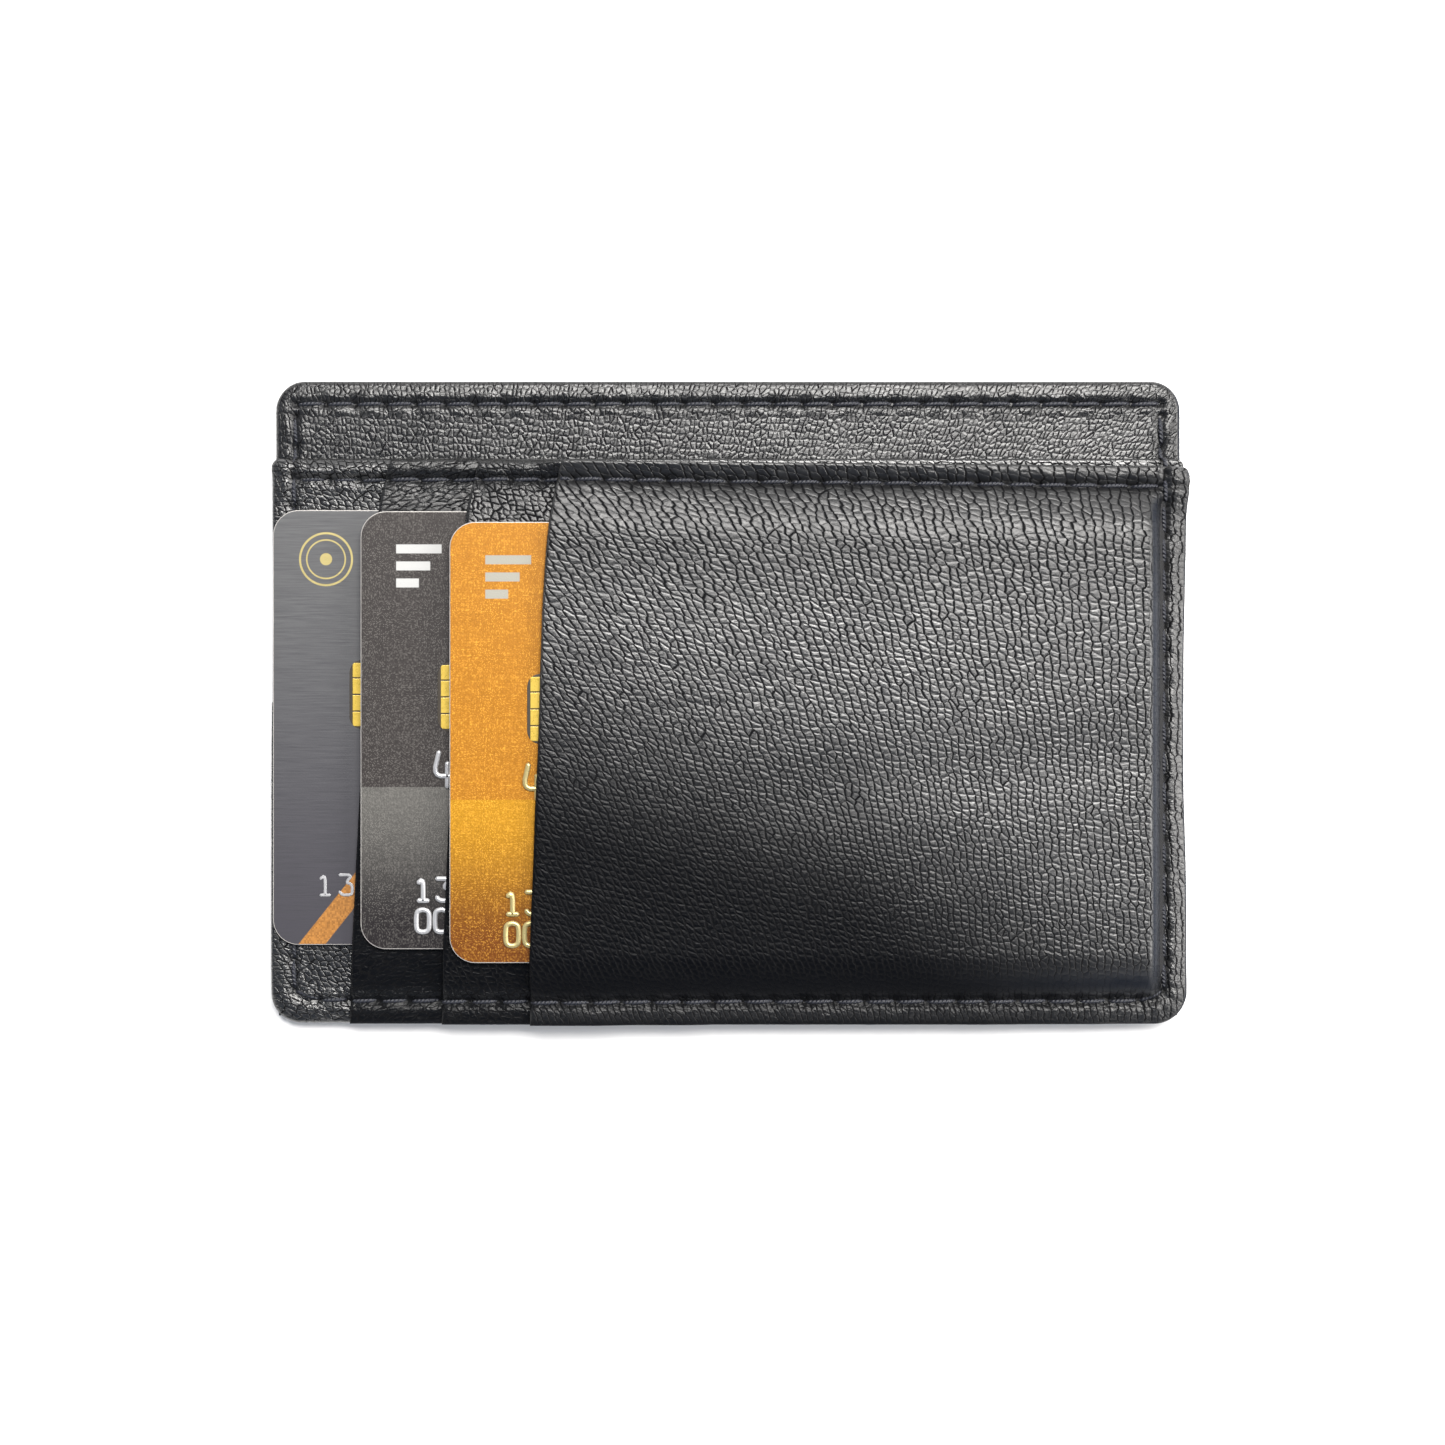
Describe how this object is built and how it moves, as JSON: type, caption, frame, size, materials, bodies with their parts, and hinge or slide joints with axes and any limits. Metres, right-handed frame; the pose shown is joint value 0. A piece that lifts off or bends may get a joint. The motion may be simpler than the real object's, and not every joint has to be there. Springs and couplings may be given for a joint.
{
  "type": "leather card holder",
  "caption": "Slim black leather card holder with side-entry card pockets in steps, a note pocket behind them, and bank cards that slide out.",
  "frame": {"origin": "centre of the holder's outline, on the flat back that it lies on", "axes": "+X along the holder's length, away from the side where the cards go in; +Y towards the mouth of the note pocket; +Z out of the front, so the holder lies on its back"},
  "size_m": [0.114, 0.0802, 0.0077],
  "materials": {
    "black_leather": "grained, semi-matt",
    "fibre_board": "matt",
    "lining_fabric": "plain weave",
    "black_thread": "bonded thread",
    "grey_card": "brushed look",
    "bronze_card": "fine metallic flake",
    "gold_card": "fine metallic flake",
    "chip_gold": "satin plated",
    "stripe_film": "satin",
    "signature_film": "matt"
  },
  "bodies": {
    "holder": {"back_panel": "black_leather", "back_board": "fibre_board", "back_facing": "black_leather", "note_pocket_lining": "lining_fabric", "base_panel": "black_leather", "pocket_1_panel": "black_leather", "pocket_1_lining": "lining_fabric", "pocket_2_panel": "black_leather", "pocket_2_lining": "lining_fabric", "front_panel": "black_leather", "front_lining": "lining_fabric", "pocket_1_stop_stitching": "black_thread", "pocket_2_stop_stitching": "black_thread", "side_seam_needle_thread": "black_thread", "side_seam_bobbin_thread": "black_thread", "top_edge_needle_thread": "black_thread", "top_edge_bobbin_thread": "black_thread", "front_edge_thread": "black_thread"},
    "card_1": {"card_1_body": "grey_card", "card_1_chip": "chip_gold", "card_1_magnetic_stripe": "stripe_film", "card_1_signature_panel": "signature_film"},
    "card_2": {"card_2_body": "bronze_card", "card_2_chip": "chip_gold", "card_2_magnetic_stripe": "stripe_film", "card_2_signature_panel": "signature_film"},
    "card_3": {"card_3_body": "gold_card", "card_3_chip": "chip_gold", "card_3_magnetic_stripe": "stripe_film", "card_3_signature_panel": "signature_film"}
  },
  "joints": [
    {"name": "card_1_slide", "type": "slide", "parent": "holder", "child": "card_1", "axis": [-1, 0, 0], "range_m": [0, 0.088]},
    {"name": "card_2_slide", "type": "slide", "parent": "holder", "child": "card_2", "axis": [-1, 0, 0], "range_m": [0, 0.0995]},
    {"name": "card_3_slide", "type": "slide", "parent": "holder", "child": "card_3", "axis": [-1, 0, 0], "range_m": [0, 0.1105]}
  ]
}
